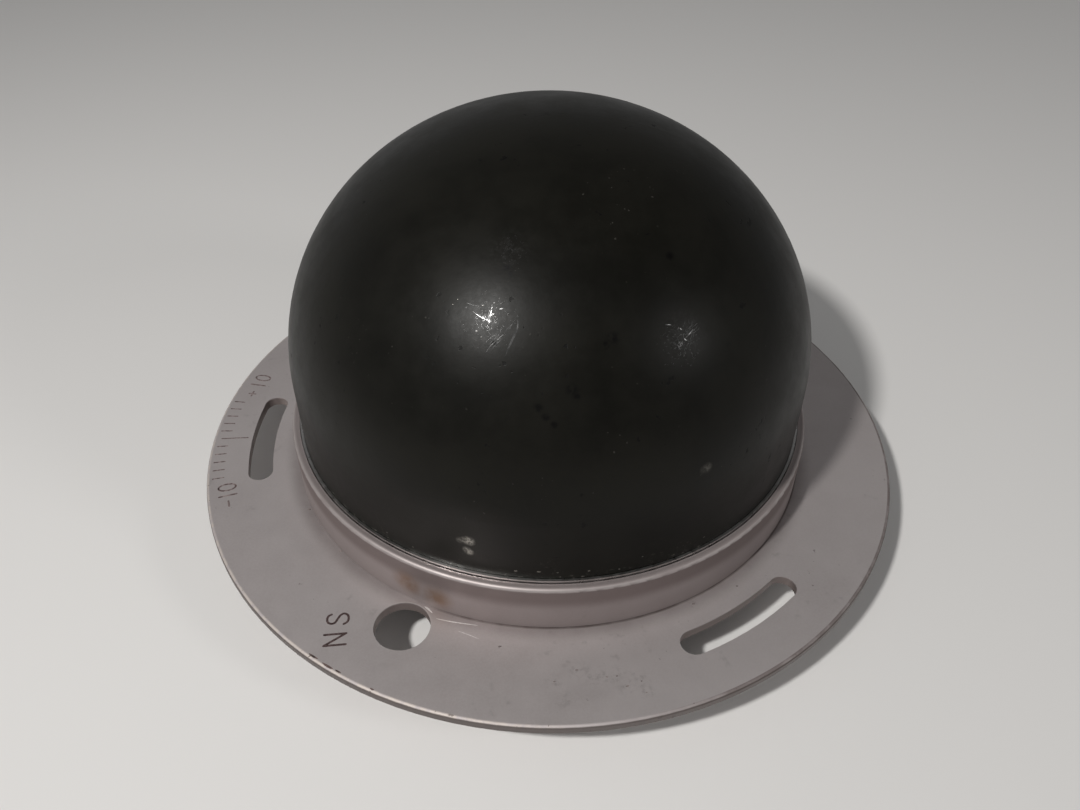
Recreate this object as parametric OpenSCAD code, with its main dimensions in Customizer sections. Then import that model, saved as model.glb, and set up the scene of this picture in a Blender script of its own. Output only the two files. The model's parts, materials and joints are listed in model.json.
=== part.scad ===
// Remote compass transmitter, standing on its terminal cover with the bowl up.
// A three-leg induction element hangs from a universal joint inside a sealed bowl.
// The bowl is clamped into the collar of a flange with three arc slots.
// The origin is on the surface that the cover rests on, on the axis of the bowl.
// The middle slot, which has the zero mark, lies on -X.

/* [Mounting flange] */
// Outer diameter of the flange
flange_d = 127; // [120:0.5:140]
// Thickness of the flange plate
flange_t = 1.8; // [1.4:0.1:3]
// Rounding of the outer edge of the flange
flange_edge_r = 0.5; // [0.2:0.1:0.6]
// Pitch circle diameter of the mounting slots
slot_pcd = 107.95; // [106:0.05:112]
// Width of a mounting slot
slot_w = 4.4; // [3.4:0.1:5.2]
// Turn that the slots allow, from end to end, in degrees
slot_swing = 20; // [10:1:30]
// Number of mounting slots
slot_count = 3; // [2:1:4]
// Diameter of the access hole beside the collar
access_d = 8.8; // [5:0.1:9]
// Metal left between the access hole and the wall of the collar
access_web = 0.6; // [0.4:0.1:1.2]
// Angle of the access hole round the flange
access_angle = -120; // [-125:1:-115]

/* [Collar] */
// Height of the collar above the flange
collar_h = 9.0; // [8.4:0.1:10]
// Thickness of the wall of the collar
collar_wall = 1.3; // [0.9:0.05:1.6]
// Rounding of the top of the collar
collar_lip_r = 0.7; // [0.3:0.1:0.9]
// Width of the ledge inside the collar
ledge_w = 5.8; // [5.4:0.1:7]

/* [Bowl] */
// Outer diameter of the skirt of the bowl
bowl_d = 89.8; // [86:0.2:92]
// Thickness of the wall of the bowl
bowl_wall = 1.2; // [0.8:0.1:2]
// Height of the top of the skirt above the flange
skirt_h = 20.7; // [18:0.1:26]
// Height of the domed cap above the skirt
cap_h = 41.2; // [37:0.1:44]
// Width of the bead round the rim of the bowl
bead_w = 0.5; // [0.45:0.05:0.9]
// Thickness of the bead
bead_t = 1.1; // [0.8:0.1:1.6]
// Thickness of the gasket under the bead
bowl_gasket_t = 1.0; // [0.6:0.1:1.4]

/* [Clamp ring] */
// Width of the visible top of the clamp ring
clamp_top_w = 0.4; // [0.3:0.05:0.45]
// Height of the clamp ring above the top of the collar
clamp_proud = 0.5; // [0.2:0.1:1.2]
// Depth of the groove between the clamp ring and the collar
clamp_groove = 1.2; // [0.6:0.1:1.6]

/* [Header plate] */
// Thickness of the rim of the header plate
header_rim_t = 4.0; // [3.2:0.1:4.2]
// Radial width of the rim of the header plate
header_rim_w = 9.0; // [8:0.1:9.4]
// Thickness of the web of the header plate
header_web_t = 2.2; // [1.8:0.1:2.6]
// Number of header screws
header_screws_n = 6; // [4:1:8]
// Diameter of the thread of the header screws
header_screw_d = 2.0; // [1.6:0.1:2.4]

/* [Terminals and cover] */
// Height of the underside of the flange above the resting surface
stand_h = 8.0; // [7.5:0.1:12]
// Gap between the terminal cover and the heads of the header screws
cover_gap = 2.2; // [0.5:0.1:6]
// Thickness of the wall and floor of the terminal cover
cover_wall = 1.5; // [1.2:0.1:1.8]
// Rounding of the lower edge of the terminal cover
cover_edge_r = 1.4; // [0.4:0.1:1.6]
// Thickness of the gasket on the rim of the cover
cover_gasket_t = 0.5; // [0.3:0.1:0.8]
// Number of terminals
terminal_n = 5; // [3:1:6]
// Pitch circle diameter of the terminals
terminal_pcd = 32; // [30:0.5:36]
// Diameter of a terminal pin
terminal_d = 1.5; // [1.2:0.1:1.8]
// Diameter of the glass bead round a terminal pin
seal_d = 4.4; // [3.6:0.1:5]
// Height of a terminal pin above the web of the header plate
terminal_tail = 3.8; // [2:0.1:5]
// Gap between a pillar and the wall of the cover
pillar_gap = 4.1; // [1:0.1:6]
// Width of a pillar across its corners
pillar_d = 5.8; // [5:0.1:6.4]
// Diameter of the thread of the cover screws
cover_screw_d = 2.4; // [2:0.1:2.8]
// Diameter of the bore of the cable grommet
cable_d = 4.0; // [3:0.1:4]

/* [Universal joint] */
// Height of the pivot above the flange
pivot_h = 17.2; // [16.5:0.1:18]
// Width of the block of the cross
cross_w = 5.8; // [5.2:0.1:6.2]
// Diameter of a pivot pin
pin_d = 2.0; // [1.6:0.1:2.2]
// Gap between the cross and an ear
ear_gap = 0.6; // [0.4:0.1:0.8]
// Thickness of an ear
ear_t = 2.0; // [1.6:0.1:2.4]
// Radius of the end of an ear
ear_r = 2.6; // [2.2:0.1:2.8]
// Distance from the pivot to the bridge between two ears
bridge_h = 6.2; // [6.1:0.1:6.8]
// Thickness of a bridge
bridge_t = 2.0; // [1.6:0.1:2.6]
// Diameter of the suspension post
post_d = 9; // [7:0.5:10]
// Diameter of the base of the suspension post
post_base_d = 20; // [19:0.5:22]

/* [Induction element] */
// Thickness of a core
core_t = 1.2; // [0.9:0.1:1.5]
// Gap between the two cores
core_gap = 6.0; // [5:0.1:6.5]
// Width of a leg of a core
leg_w = 5.0; // [4.2:0.1:5.4]
// Radius of the hub of a core
hub_r = 8.5; // [8:0.1:9]
// Room between the swinging element and the inside of the bowl
swing_clear = 4.8; // [2:0.1:7]
// Radial width of a flux horn
horn_w = 4.5; // [4:0.1:5]
// Angle that a flux horn spans, in degrees
horn_span = 104; // [90:1:110]
// Length of a pickup bobbin along its leg
pickup_l = 12; // [9:0.1:13]
// Depth of the winding of a pickup coil
pickup_depth = 1.8; // [1.2:0.1:2]
// Diameter of the core post
core_post_d = 6.4; // [5.6:0.1:7]
// Diameter of the exciter coil
exciter_d = 15; // [12:0.1:16]
// Wall of the bobbins
bobbin_wall = 0.7; // [0.5:0.05:0.8]
// Diameter of the centre stud
stud_d = 2.5; // [2:0.1:2.6]
// Diameter of the pendulum weight
weight_d = 22; // [18:0.5:23]
// Height of the pendulum weight
weight_h = 8; // [6:0.1:10]

/* [Hidden] */
$fn = 96;

// Clearances: a piece that drops into another, a pin that turns in its bore, a pin that stays put
fit_clear = 0.1;
run_clear = 0.05;
set_clear = 0.02;
// Extra length of a cut past the face that it starts from
over = 1;
// A hexagon drawn with this many sides
hex = 6;
// Proportions of a screw: head to thread, height of a cheese head, width and depth of its slot
head_ratio = 1.9;
cheese_ratio = 0.6;
slot_ratio = 0.2;
slot_depth_ratio = 0.5;
// Share of a plate's thickness that a thread reaches into it
grip_ratio = 0.7;

// Radii of the bowl, the collar and the ledge, from the skirt outwards
bowl_r = bowl_d / 2;
bead_r = bowl_r + bead_w;
bore_r = bead_r + fit_clear;
collar_r = bore_r + collar_wall;
flange_r = flange_d / 2;
ledge_r = bore_r - ledge_w;
header_r = bore_r - fit_clear;
spigot_r = ledge_r - fit_clear;
dish_r = header_r - header_rim_w;
clamp_in_r = bowl_r + run_clear;
clamp_top_r = clamp_in_r + clamp_top_w;
// Width of the bowl gasket inside the wall of the bowl
gasket_lap = 0.6;

// Heights above the resting surface
flange_z = stand_h + flange_t;
web_z = stand_h + header_web_t;
rim_z = flange_z + header_rim_t;
seat_z = rim_z + bowl_gasket_t;
bead_z = seat_z + bead_t;
collar_z = flange_z + collar_h;
clamp_z = collar_z + clamp_proud;
skirt_z = flange_z + skirt_h;
pivot_z = flange_z + pivot_h;

// Slots and access hole
slot_r = slot_pcd / 2;
slot_angle = 180;
access_r = collar_r + access_web + access_d / 2;

// Depth of a countersunk head below the face round it
screw_inset = 0.1;

// Header screws, countersunk into the ledge, halfway across it
header_screw_r = (ledge_r + bore_r) / 2;
header_head_d = head_ratio * header_screw_d;
header_head_h = (header_head_d - header_screw_d) / 2;
header_screw_l = flange_t + grip_ratio * header_rim_t - screw_inset;
header_angle = 30;

// Suspension post
post_base_t = 2;
post_screw_n = 3;
post_screw_d = 2;
post_head_d = head_ratio * post_screw_d;
post_head_h = cheese_ratio * post_screw_d;
post_screw_r = (post_base_d + post_d) / 4;
post_screw_l = post_base_t + grip_ratio * header_web_t;
post_seat_z = web_z + post_base_t;

// Terminals
terminal_r = terminal_pcd / 2;
terminal_angle = 90;
insulator_t = 1.2;
insulator_margin = 2.4;
washer_t = 0.5;
washer_rim = 1.25;
washer_d = terminal_d + 2 * washer_rim;
nut_t = 1.4;
nut_rim = 1.5;
nut_d = terminal_d + 2 * nut_rim;
terminal_end = 0.8;
insulator_reach = seal_d / 2 + insulator_margin;
insulator_r = terminal_r + insulator_reach;
insulator_in_r = terminal_r - insulator_reach;
insulator_z = stand_h - insulator_t;
washer_z = insulator_z - washer_t;
nut_z = washer_z - nut_t;
terminal_z = nut_z - terminal_end;

// Terminal cover, inside the ring of header screws, with its pillars
cover_r = header_screw_r - header_head_d / 2 - cover_gap;
cover_d = 2 * cover_r;
cover_z = stand_h - cover_gasket_t;
pillar_r = cover_r - cover_wall - pillar_gap - pillar_d / 2;
pillar_n = 3;
pillar_angle = 60;
pillar_tang = grip_ratio * header_web_t;

// Filler plug, in a boss on the web, halfway between two pillars and between insulator and cover
filler_angle = 120;
filler_r = (insulator_r + cover_r - cover_wall) / 2;
filler_d = 4;
filler_head_d = 6.4;
filler_head_h = 1.6;
filler_washer_t = 0.5;
filler_boss_d = 9;
filler_boss_h = 1.6;
filler_plug_l = filler_washer_t + header_web_t + filler_boss_h;
filler_seat_z = stand_h - filler_washer_t;

// Cover screws and cable inlet
cover_head_d = head_ratio * cover_screw_d;
cover_head_h = (cover_head_d - cover_screw_d) / 2;
cover_screw_l = (stand_h + cover_wall) / 2 - screw_inset;
grommet_wall = 0.5;
grommet_lip = 0.3;
grommet_lip_t = 0.7;
inlet_d = cable_d + 2 * grommet_wall;
inlet_z = (cover_wall + cover_z) / 2;

// Universal joint
cross_h = cross_w / 2;
ear_in = cross_h + ear_gap;
ear_out = ear_in + ear_t;
pin_in = pin_d / 2 + 2 * fit_clear;
yoke_z = pivot_z + bridge_h;

// Induction element: the stack from the yoke towards the crown of the bowl.
// Its horns reach as far as the bowl allows at every tilt.
lower_z = yoke_z + bridge_t;
gap_z = lower_z + core_t;
upper_z = gap_z + core_gap;
stack_z = upper_z + core_t;
leg_n = 3;
leg_angle = 90;
horn_screw_d = 1.6;
horn_head_d = head_ratio * horn_screw_d;
horn_head_h = cheese_ratio * horn_screw_d;
horn_nut_d = horn_screw_d + 2 * washer_rim;
horn_nut_t = 1.2;
horn_top = stack_z + horn_head_h - pivot_z;
swing_r = min(bowl_r, skirt_z + cap_h - pivot_z) - bowl_wall - swing_clear;
horn_r = sqrt(swing_r * swing_r - horn_top * horn_top);
horn_in = horn_r - horn_w;
horn_screw_r = horn_r - horn_w / 2;

// Pickup coils, halfway along the legs, each with a window round both cores
bobbin_clear = 0.15;
flange_bobbin_t = 0.6;
flange_bobbin_h = 0.3;
coil_corner_r = 1.2;
pickup_r = (hub_r + horn_in - pickup_l) / 2;
window_w = leg_w + 2 * bobbin_clear;
window_h = stack_z - lower_z + 2 * bobbin_clear;
sleeve_w = window_w + 2 * bobbin_wall;
sleeve_h = window_h + 2 * bobbin_wall;
coil_w = sleeve_w + 2 * pickup_depth;
coil_h = sleeve_h + 2 * pickup_depth;
bobbin_w = coil_w + 2 * flange_bobbin_h;
bobbin_h = coil_h + 2 * flange_bobbin_h;

// Pendulum weight, on a neck that lifts it clear of the pickup coils, and the centre stud
stud_head_d = head_ratio * stud_d;
stud_head_h = (stud_head_d - stud_d) / 2;
stud_washer_d = stud_d + 2 * nut_rim;
stud_washer_t = 0.5;
stud_nut_d = stud_d + 2 * washer_rim;
stud_nut_t = 2;
stud_end = 0.8;
weight_edge_r = 2;
weight_clear = 0.6;
weight_neck_h = (bobbin_h - (stack_z - lower_z)) / 2 + weight_clear;
weight_z = stack_z + weight_neck_h;
washer_top_z = weight_z + weight_h;
nut_top_z = washer_top_z + stud_washer_t;

// Copies of its children at equal angles, at radius r
module ring_of(n, r, first = 0) {
    for (k = [0 : n - 1])
        rotate([0, 0, first + 360 * k / n])
            translate([r, 0, 0])
                children();
}

// Round hole or pin from z to z + h
module rod(d, z, h) {
    translate([0, 0, z])
        cylinder(d = d, h = h);
}

// Tube from z to z + h
module tube(d_out, d_in, z, h) {
    difference() {
        rod(d_out, z, h);
        rod(d_in, z - over, h + 2 * over);
    }
}

// Cheese-head screw, head down, with a slot; z is the face under the head
module cheese_screw(d, l, head_d, head_h, z) {
    difference() {
        union() {
            rod(d, z - head_h, l + head_h);
            rod(head_d, z - head_h, head_h);
        }
        screw_slot(head_d, head_h, z - head_h);
    }
}

// Slot across the flat of a screw head at height z
module screw_slot(head_d, head_h, z) {
    slot = slot_ratio * head_d;
    translate([-head_d, -slot / 2, z - over])
        cube([2 * head_d, slot, over + slot_depth_ratio * head_h]);
}

// Countersunk screw, head down, with a slot; z is the flat of the head
module sunk_screw(d, l, head_d, head_h, z) {
    difference() {
        union() {
            translate([0, 0, z])
                cylinder(d1 = head_d, d2 = d, h = head_h);
            rod(d, z, l);
        }
        screw_slot(head_d, head_h, z);
    }
}

// Hole for a countersunk screw through a plate of thickness t whose outer face is at height z
module sunk_hole(d, head_d, head_h, z, t) {
    hole_d = d + 2 * fit_clear;
    sink_d = head_d + 2 * fit_clear;
    rod(hole_d, z - over, t + 2 * over);
    rod(sink_d, z - over, over + screw_inset);
    translate([0, 0, z + screw_inset])
        cylinder(d1 = sink_d, d2 = hole_d, h = head_h);
}

// Hexagon nut with a round bore
module hex_nut(d, bore, z, t) {
    difference() {
        translate([0, 0, z])
            cylinder(d = d, h = t, $fn = hex);
        rod(bore, z - over, t + 2 * over);
    }
}

// Rectangle with round corners, centred
module round_rect(w, h, r) {
    square([w - 2 * r, h], center = true);
    square([w, h - 2 * r], center = true);
    for (x = [-1, 1], y = [-1, 1])
        translate([x * (w / 2 - r), y * (h / 2 - r)])
            circle(r);
}

// Half section of the bowl, set in by s from the outside: a straight skirt under half an ellipse
module bowl_section(s, bottom) {
    skirt_r = bowl_r - s;
    intersection() {
        translate([0, skirt_z])
            scale([1, (cap_h - s) / skirt_r])
                circle(skirt_r);
        translate([0, skirt_z])
            square([bowl_r + over, cap_h + over]);
    }
    translate([0, bottom])
        square([skirt_r, skirt_z - bottom]);
}

// Half section of the flange with its collar
module flange_section() {
    plate_r = flange_r - flange_edge_r;
    translate([ledge_r, stand_h])
        square([plate_r - ledge_r, flange_t]);
    translate([plate_r, stand_h + flange_edge_r])
        square([flange_edge_r, flange_t - 2 * flange_edge_r]);
    for (z = [stand_h + flange_edge_r, flange_z - flange_edge_r])
        translate([plate_r, z])
            circle(flange_edge_r);
    translate([bore_r, stand_h])
        square([collar_wall, flange_t + collar_h - collar_lip_r]);
    translate([bore_r, stand_h])
        square([collar_wall - collar_lip_r, flange_t + collar_h]);
    translate([collar_r - collar_lip_r, collar_z - collar_lip_r])
        intersection() {
            circle(collar_lip_r);
            square(collar_lip_r);
        }
}

// One arc slot, centred on the +X axis
module arc_slot() {
    cut_z = stand_h - over;
    cut_h = flange_t + 2 * over;
    rotate([0, 0, -slot_swing / 2])
        rotate_extrude(angle = slot_swing)
            translate([slot_r - slot_w / 2, cut_z])
                square([slot_w, cut_h]);
    for (a = [-1, 1])
        rotate([0, 0, a * slot_swing / 2])
            translate([slot_r, 0, 0])
                rod(slot_w, cut_z, cut_h);
}

module mounting_flange() {
    color("silver")
        difference() {
            rotate_extrude()
                flange_section();
            ring_of(slot_count, 0, slot_angle)
                arc_slot();
            rotate([0, 0, access_angle])
                translate([access_r, 0, 0])
                    rod(access_d, stand_h - over, flange_t + 2 * over);
            ring_of(header_screws_n, header_screw_r, header_angle)
                sunk_hole(header_screw_d, header_head_d, header_head_h, stand_h, flange_t);
        }
}

module bowl() {
    color([0.1, 0.09, 0.08])
        rotate_extrude()
            difference() {
                union() {
                    bowl_section(0, seat_z);
                    translate([0, seat_z])
                        square([bead_r, bead_t]);
                }
                bowl_section(bowl_wall, seat_z - over);
            }
}

module clamp_ring() {
    color("gainsboro")
        rotate_extrude()
            difference() {
                translate([clamp_in_r, bead_z])
                    square([bore_r - clamp_in_r, clamp_z - bead_z]);
                translate([clamp_top_r, collar_z - clamp_groove])
                    square([bore_r, clamp_groove + clamp_proud + over]);
            }
}

module bowl_gasket() {
    color([0.15, 0.15, 0.15])
        tube(2 * header_r, 2 * (bowl_r - bowl_wall - gasket_lap), rim_z, bowl_gasket_t);
}

module header_plate() {
    color("darkkhaki")
        difference() {
            union() {
                rod(2 * spigot_r, stand_h, header_web_t);
                tube(2 * header_r, 2 * dish_r, flange_z, header_rim_t);
                tube(2 * spigot_r, 2 * dish_r, stand_h, flange_t + header_rim_t / 2);
                rotate([0, 0, filler_angle])
                    translate([filler_r, 0, 0])
                        rod(filler_boss_d, stand_h, header_web_t + filler_boss_h);
            }
            ring_of(header_screws_n, header_screw_r, header_angle)
                rod(header_screw_d + 2 * set_clear, stand_h, screw_inset + header_screw_l + fit_clear);
            ring_of(post_screw_n, post_screw_r)
                rod(post_screw_d + 2 * set_clear, post_seat_z - post_screw_l - fit_clear, post_screw_l);
            ring_of(terminal_n, terminal_r, terminal_angle)
                rod(seal_d + 2 * set_clear, stand_h - over, header_web_t + 2 * over);
            ring_of(pillar_n, pillar_r, pillar_angle)
                rod(cover_screw_d + 2 * set_clear, stand_h - over, over + pillar_tang + fit_clear);
            rotate([0, 0, filler_angle])
                translate([filler_r, 0, 0])
                    rod(filler_d + 2 * set_clear, stand_h - over, header_web_t + filler_boss_h + 2 * over);
        }
}

module header_screws() {
    color("dimgray")
        ring_of(header_screws_n, header_screw_r, header_angle)
            sunk_screw(header_screw_d, header_screw_l, header_head_d, header_head_h, stand_h + screw_inset);
}

// Two ears with bored ends on a bridge below the pivot, along X
module fork(pin_bore) {
    for (side = [-1, 1])
        difference() {
            union() {
                translate([side * (ear_in + ear_t / 2), 0, -(bridge_h + bridge_t) / 2])
                    cube([ear_t, 2 * ear_r, bridge_h + bridge_t], center = true);
                translate([side * (ear_in + ear_t / 2), 0, 0])
                    rotate([0, 90, 0])
                        cylinder(r = ear_r, h = ear_t, center = true);
            }
            rotate([0, 90, 0])
                cylinder(d = pin_bore, h = 2 * ear_out + over, center = true);
        }
}

module suspension_post() {
    bridge_w = 2 * ear_out;
    color("goldenrod")
        difference() {
            union() {
                rod(post_base_d, web_z, post_base_t);
                rod(post_d, web_z, pivot_z - bridge_h - bridge_t / 2 - web_z);
                translate([-bridge_w / 2, -ear_r, pivot_z - bridge_h - bridge_t])
                    cube([bridge_w, 2 * ear_r, bridge_t]);
                translate([0, 0, pivot_z])
                    fork(pin_d + 2 * run_clear);
            }
            ring_of(post_screw_n, post_screw_r)
                rod(post_screw_d + 2 * fit_clear, web_z - over, post_base_t + 2 * over);
        }
}

module post_screws() {
    color("dimgray")
        ring_of(post_screw_n, post_screw_r)
            translate([0, 0, post_seat_z])
                mirror([0, 0, 1])
                    cheese_screw(post_screw_d, post_screw_l, post_head_d, post_head_h, 0);
}

module terminal_pins() {
    color("gold")
        ring_of(terminal_n, terminal_r, terminal_angle)
            rod(terminal_d, terminal_z, web_z + terminal_tail - terminal_z);
}

module terminal_seals() {
    color("lightskyblue")
        ring_of(terminal_n, terminal_r, terminal_angle)
            tube(seal_d, terminal_d + 2 * set_clear, stand_h, header_web_t);
}

module terminal_insulator() {
    color("saddlebrown")
        difference() {
            tube(2 * insulator_r, 2 * insulator_in_r, insulator_z, insulator_t);
            ring_of(terminal_n, terminal_r, terminal_angle)
                rod(terminal_d + 2 * fit_clear, insulator_z - over, insulator_t + 2 * over);
        }
}

module terminal_washers() {
    color("silver")
        ring_of(terminal_n, terminal_r, terminal_angle)
            tube(washer_d, terminal_d + 2 * fit_clear, washer_z, washer_t);
}

module terminal_nuts() {
    color("gold")
        ring_of(terminal_n, terminal_r, terminal_angle)
            hex_nut(nut_d, terminal_d + 2 * set_clear, nut_z, nut_t);
}

module filler_plug() {
    color("goldenrod")
        rotate([0, 0, filler_angle])
            translate([filler_r, 0, 0])
                cheese_screw(filler_d, filler_plug_l, filler_head_d, filler_head_h, filler_seat_z);
}

module filler_washer() {
    color("brown")
        rotate([0, 0, filler_angle])
            translate([filler_r, 0, 0])
                tube(filler_head_d, filler_d + 2 * fit_clear, filler_seat_z, filler_washer_t);
}

module cover_pillars() {
    color("silver")
        ring_of(pillar_n, pillar_r, pillar_angle)
            difference() {
                union() {
                    translate([0, 0, cover_wall])
                        cylinder(d = pillar_d, h = stand_h - cover_wall, $fn = hex);
                    rod(cover_screw_d, stand_h - over, over + pillar_tang);
                }
                rod(cover_screw_d + 2 * set_clear, 0, screw_inset + cover_screw_l + fit_clear);
            }
}

module cover_gasket() {
    color([0.15, 0.15, 0.15])
        tube(cover_d, cover_d - 2 * cover_wall, cover_z, cover_gasket_t);
}

// Half section of the cover: floor, wall and rounded lower edge
module cover_section() {
    difference() {
        union() {
            translate([0, cover_edge_r])
                square([cover_r, cover_z - cover_edge_r]);
            square([cover_r - cover_edge_r, cover_edge_r]);
            translate([cover_r - cover_edge_r, cover_edge_r])
                intersection() {
                    circle(cover_edge_r);
                    translate([0, -cover_edge_r])
                        square(cover_edge_r);
                }
        }
        translate([0, cover_wall])
            square([cover_r - cover_wall, cover_z]);
    }
}

module terminal_cover() {
    color("silver")
        difference() {
            rotate_extrude()
                cover_section();
            ring_of(pillar_n, pillar_r, pillar_angle)
                sunk_hole(cover_screw_d, cover_head_d, cover_head_h, 0, cover_wall);
            translate([0, 0, inlet_z])
                rotate([0, 90, 0])
                    rod(inlet_d, cover_r - cover_wall - over, cover_wall + 2 * over);
        }
}

module cover_screws() {
    color("dimgray")
        ring_of(pillar_n, pillar_r, pillar_angle)
            sunk_screw(cover_screw_d, cover_screw_l, cover_head_d, cover_head_h, screw_inset);
}

module cable_grommet() {
    lip_d = inlet_d + 2 * grommet_lip;
    body_d = inlet_d - 2 * set_clear;
    inner_x = cover_r - cover_wall - grommet_lip_t;
    grommet_l = cover_wall + 2 * grommet_lip_t;
    color([0.12, 0.12, 0.12])
        translate([0, 0, inlet_z])
            rotate([0, 90, 0])
                difference() {
                    union() {
                        rod(body_d, inner_x, grommet_l);
                        difference() {
                            rod(lip_d, inner_x, grommet_l);
                            rotate([0, -90, 0])
                                translate([0, 0, -inlet_z])
                                    tube(cover_d, cover_d - 2 * cover_wall, 0, cover_z);
                        }
                    }
                    rod(cable_d, inner_x - over, grommet_l + 2 * over);
                }
}

module gimbal_cross() {
    color("goldenrod")
        translate([0, 0, pivot_z])
            difference() {
                cube(cross_w, center = true);
                for (a = [0, 90])
                    rotate([0, 90, a])
                        cylinder(d = pin_d + 2 * set_clear, h = cross_w + 2 * over, center = true);
            }
}

// Two pins set in the cross, one on each side, along X
module pin_pair() {
    for (side = [0, 180])
        rotate([0, 0, side])
            rotate([0, 90, 0])
                rod(pin_d, pin_in, ear_out - pin_in);
}

module roll_pins() {
    color("silver")
        translate([0, 0, pivot_z])
            pin_pair();
}

module pitch_pins() {
    color("silver")
        translate([0, 0, pivot_z])
            rotate([0, 0, 90])
                pin_pair();
}

module pendulum_yoke() {
    color("goldenrod")
        difference() {
            union() {
                translate([0, 0, pivot_z])
                    rotate([180, 0, 90])
                        fork(pin_d + 2 * run_clear);
                rod(2 * hub_r, yoke_z, bridge_t);
            }
            rod(stud_d + 2 * set_clear, yoke_z - over, bridge_t + 2 * over);
            translate([0, 0, yoke_z])
                cylinder(d1 = stud_head_d + 2 * fit_clear, d2 = stud_d + 2 * fit_clear, h = stud_head_h);
        }
}

// Hub with three legs, bored for the centre stud and the horn screws
module core(z) {
    difference() {
        union() {
            rod(2 * hub_r, z, core_t);
            ring_of(leg_n, 0, leg_angle) {
                translate([0, -leg_w / 2, z])
                    cube([horn_screw_r, leg_w, core_t]);
                translate([horn_screw_r, 0, 0])
                    rod(leg_w, z, core_t);
            }
        }
        rod(stud_d + 2 * fit_clear, z - over, core_t + 2 * over);
        ring_of(leg_n, horn_screw_r, leg_angle)
            rod(horn_screw_d + 2 * fit_clear, z - over, core_t + 2 * over);
    }
}

module lower_core() {
    color("slategray")
        core(lower_z);
}

module upper_core() {
    color("slategray")
        core(upper_z);
}

module core_post() {
    color("slategray")
        tube(core_post_d, stud_d + 2 * fit_clear, gap_z, core_gap);
}

module exciter_bobbin() {
    sleeve_in = core_post_d + 2 * fit_clear;
    sleeve_out = sleeve_in + 2 * bobbin_wall;
    color("wheat") {
        tube(sleeve_out, sleeve_in, gap_z + bobbin_clear, core_gap - 2 * bobbin_clear);
        for (z = [gap_z + bobbin_clear, upper_z - bobbin_clear - bobbin_wall])
            tube(exciter_d + 2 * flange_bobbin_h, sleeve_in, z, bobbin_wall);
    }
}

module exciter_coil() {
    coil_in = core_post_d + 4 * fit_clear + 2 * bobbin_wall;
    coil_z = gap_z + bobbin_clear + bobbin_wall + set_clear;
    color("chocolate")
        tube(exciter_d, coil_in, coil_z, core_gap - 2 * (bobbin_clear + bobbin_wall + set_clear));
}

// Turns its children from a section across a leg to a solid along leg k, from radius r
module along_leg(k, r, l) {
    rotate([0, 0, leg_angle + 360 * (k - 1) / leg_n])
        translate([r, 0, (lower_z + stack_z) / 2])
            rotate([90, 0, 90])
                linear_extrude(height = l)
                    children();
}

module pickup_bobbin(k) {
    color("wheat") {
        along_leg(k, pickup_r, pickup_l)
            difference() {
                square([sleeve_w, sleeve_h], center = true);
                square([window_w, window_h], center = true);
            }
        for (r = [pickup_r, pickup_r + pickup_l - flange_bobbin_t])
            along_leg(k, r, flange_bobbin_t)
                difference() {
                    round_rect(bobbin_w, bobbin_h, coil_corner_r);
                    square([window_w, window_h], center = true);
                }
    }
}

module pickup_coil(k) {
    color("chocolate")
        along_leg(k, pickup_r + flange_bobbin_t + set_clear, pickup_l - 2 * (flange_bobbin_t + set_clear))
            difference() {
                round_rect(coil_w, coil_h, coil_corner_r);
                square([sleeve_w + 2 * set_clear, sleeve_h + 2 * set_clear], center = true);
            }
}

module flux_horn(k) {
    color("lightslategray")
        rotate([0, 0, leg_angle + 360 * (k - 1) / leg_n])
            difference() {
                rotate([0, 0, -horn_span / 2])
                    rotate_extrude(angle = horn_span)
                        translate([horn_in, gap_z])
                            square([horn_w, core_gap]);
                translate([horn_screw_r, 0, 0])
                    rod(horn_screw_d + 2 * fit_clear, gap_z - over, core_gap + 2 * over);
            }
}

module horn_screws() {
    color("goldenrod")
        ring_of(leg_n, horn_screw_r, leg_angle)
            translate([0, 0, stack_z])
                mirror([0, 0, 1])
                    cheese_screw(horn_screw_d, stack_z - lower_z + horn_nut_t, horn_head_d, horn_head_h, 0);
}

module horn_nuts() {
    color("goldenrod")
        ring_of(leg_n, horn_screw_r, leg_angle)
            hex_nut(horn_nut_d, horn_screw_d + 2 * set_clear, lower_z - horn_nut_t, horn_nut_t);
}

module pendulum_weight() {
    weight_r = weight_d / 2;
    color("darkgoldenrod")
        difference() {
            rotate_extrude()
                union() {
                    translate([0, stack_z])
                        square([hub_r, weight_neck_h]);
                    translate([0, weight_z])
                        square([weight_r, weight_h - weight_edge_r]);
                    translate([0, weight_z])
                        square([weight_r - weight_edge_r, weight_h]);
                    translate([weight_r - weight_edge_r, weight_z + weight_h - weight_edge_r])
                        circle(weight_edge_r);
                }
            rod(stud_d + 2 * fit_clear, stack_z - over, weight_neck_h + weight_h + 2 * over);
        }
}

module centre_stud() {
    color("goldenrod")
        sunk_screw(stud_d, nut_top_z + stud_nut_t + stud_end - yoke_z, stud_head_d, stud_head_h, yoke_z);
}

module stud_washer() {
    color("silver")
        tube(stud_washer_d, stud_d + 2 * fit_clear, washer_top_z, stud_washer_t);
}

module stud_nut() {
    color("goldenrod")
        hex_nut(stud_nut_d, stud_d + 2 * set_clear, nut_top_z, stud_nut_t);
}

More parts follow.
